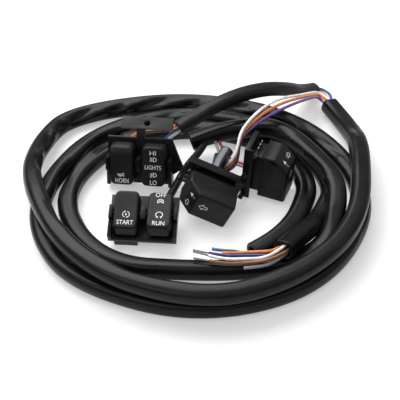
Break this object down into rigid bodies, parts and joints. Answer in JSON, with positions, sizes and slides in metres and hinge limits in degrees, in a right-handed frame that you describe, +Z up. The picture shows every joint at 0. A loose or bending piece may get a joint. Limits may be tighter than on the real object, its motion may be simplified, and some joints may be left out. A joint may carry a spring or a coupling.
{
  "type": "handlebar switch cluster",
  "caption": "Loose motorcycle handlebar switches: rocker pairs and turn signal buttons inside a coil of their two sheathed wiring harnesses.",
  "frame": {"origin": "on the surface that the cluster lies on, under the middle of the four switch modules' footprint", "axes": "+X to the right and +Y away from the side that the caps face, +Z up from the surface"},
  "size_m": [0.1803, 0.1802, 0.035],
  "materials": {
    "cap_plastic": "fine matt moulded grain",
    "switch_plastic": "plain moulded black",
    "plate_plastic": "plain moulded black",
    "pin_steel": "turned",
    "bracket_steel": "black coated",
    "tag_brass": "tinned",
    "board_resin": "plain laminate",
    "sheath_vinyl": "soft glossy vinyl",
    "sleeve_vinyl": "soft dark blue vinyl",
    "tinned_strand": "twisted tinned copper",
    "orange_insulation": "smooth wire insulation",
    "white_insulation": "smooth wire insulation",
    "violet_insulation": "smooth wire insulation",
    "blue_insulation": "smooth wire insulation",
    "ochre_insulation": "smooth wire insulation",
    "brown_insulation": "smooth wire insulation",
    "red_insulation": "smooth wire insulation",
    "grey_insulation": "smooth wire insulation",
    "navy_insulation": "smooth wire insulation",
    "teal_insulation": "smooth wire insulation"
  },
  "bodies": {
    "cluster": {"horn_lights_carrier": "plate_plastic", "hinge_pins": "pin_steel", "pair_solder_tags": "tag_brass", "horn_switch_body": "switch_plastic", "horn_plunger_spring": "pin_steel", "lights_switch_body": "switch_plastic", "bracket_tab": "bracket_steel", "bracket_screw": "bracket_steel", "start_run_carrier": "plate_plastic", "start_switch_body": "switch_plastic", "start_plunger_spring": "pin_steel", "run_switch_body": "switch_plastic", "left_turn_return_spring": "pin_steel", "left_turn_housing": "switch_plastic", "left_turn_mount_plate": "plate_plastic", "left_turn_contact_board": "board_resin", "housing_screws": "bracket_steel", "turn_solder_tags": "tag_brass", "right_turn_return_spring": "pin_steel", "right_turn_housing": "switch_plastic", "right_turn_mount_plate": "plate_plastic", "right_turn_contact_board": "board_resin", "left_harness_sheath": "sheath_vinyl", "right_harness_sheath": "sheath_vinyl", "arch_sheath": "sheath_vinyl", "left_turn_violet_wire": "violet_insulation", "left_turn_orange_wire": "orange_insulation", "left_turn_white_wire": "white_insulation", "arch_blue_wire": "blue_insulation", "arch_ochre_wire": "ochre_insulation", "horn_orange_wire": "orange_insulation", "horn_brown_wire": "brown_insulation", "lights_blue_wire": "blue_insulation", "lights_white_wire": "white_insulation", "right_turn_red_wire": "red_insulation", "right_turn_grey_wire": "grey_insulation", "branch_cable": "sheath_vinyl", "branch_wires": "sheath_vinyl", "lead_orange_wire": "orange_insulation", "lead_navy_wire": "navy_insulation", "lead_white_wire": "white_insulation", "lead_brown_wire": "brown_insulation", "lead_grey_wire": "grey_insulation", "lead_teal_wire": "teal_insulation", "stripped_strands": "tinned_strand", "left_turn_sleeve": "sleeve_vinyl"},
    "horn_rocker": {"horn_cap": "cap_plastic"},
    "horn_push_rod": {"horn_plunger": "switch_plastic"},
    "lights_rocker": {"lights_cap": "cap_plastic"},
    "lights_slider": {"lights_contact_slider": "switch_plastic"},
    "start_rocker": {"start_cap": "cap_plastic"},
    "start_push_rod": {"start_plunger": "switch_plastic"},
    "run_rocker": {"run_cap": "cap_plastic"},
    "run_slider": {"run_contact_slider": "switch_plastic"},
    "left_turn_push": {"left_turn_button": "cap_plastic", "left_turn_contact_bridge": "tag_brass"},
    "right_turn_push": {"right_turn_button": "cap_plastic", "right_turn_contact_bridge": "tag_brass"}
  },
  "joints": [
    {"name": "horn_press", "type": "hinge", "parent": "cluster", "child": "horn_rocker", "pos_m": [-0.04006, 0.01679, 0.01536], "axis": [0.9889, -0.143, 0.0415], "range_deg": [0, 7], "stiffness_Nm_per_rad": 0.05, "springref_deg": -3.44},
    {"name": "horn_contact", "type": "slide", "parent": "cluster", "child": "horn_push_rod", "axis": [0.1488, 0.9393, -0.309], "range_m": [0, 0.0008], "deforming": ["horn_plunger_spring"]},
    {"name": "lights_toggle", "type": "hinge", "parent": "cluster", "child": "lights_rocker", "pos_m": [-0.02364, 0.01441, 0.01605], "axis": [0.9889, -0.143, 0.0415], "range_deg": [0, 14]},
    {"name": "lights_contact", "type": "slide", "parent": "cluster", "child": "lights_slider", "axis": [0.0052, 0.3117, 0.9502], "range_m": [0, 0.0019]},
    {"name": "start_press", "type": "hinge", "parent": "cluster", "child": "start_rocker", "pos_m": [-0.03657, -0.0208, 0.01431], "axis": [0.9976, -0.0698, 0], "range_deg": [0, 7], "stiffness_Nm_per_rad": 0.05, "springref_deg": -3.44},
    {"name": "start_contact", "type": "slide", "parent": "cluster", "child": "start_push_rod", "axis": [0.025, 0.3575, -0.9336], "range_m": [0, 0.0008], "deforming": ["start_plunger_spring"]},
    {"name": "run_toggle", "type": "hinge", "parent": "cluster", "child": "run_rocker", "pos_m": [-0.02001, -0.02196, 0.01431], "axis": [0.9976, -0.0698, 0], "range_deg": [0, 14]},
    {"name": "run_contact", "type": "slide", "parent": "cluster", "child": "run_slider", "axis": [0.0651, 0.9313, 0.3584], "range_m": [0, 0.0019]},
    {"name": "left_turn_press", "type": "slide", "parent": "cluster", "child": "left_turn_push", "axis": [0.1511, 0.9874, 0.0471], "range_m": [0, 0.0025], "stiffness_N_per_m": 400, "springref_m": -0.001, "deforming": ["left_turn_return_spring"]},
    {"name": "right_turn_press", "type": "slide", "parent": "cluster", "child": "right_turn_push", "axis": [-0.9384, 0.3416, 0.0523], "range_m": [0, 0.0025], "stiffness_N_per_m": 400, "springref_m": -0.001, "deforming": ["right_turn_return_spring"]}
  ],
  "couplings": [
    {"joint": "horn_contact", "follows": "horn_press", "m_per_rad": 0.0065},
    {"joint": "lights_contact", "follows": "lights_toggle", "m_per_rad": 0.00765},
    {"joint": "start_contact", "follows": "start_press", "m_per_rad": 0.0065},
    {"joint": "run_contact", "follows": "run_toggle", "m_per_rad": 0.00765}
  ]
}
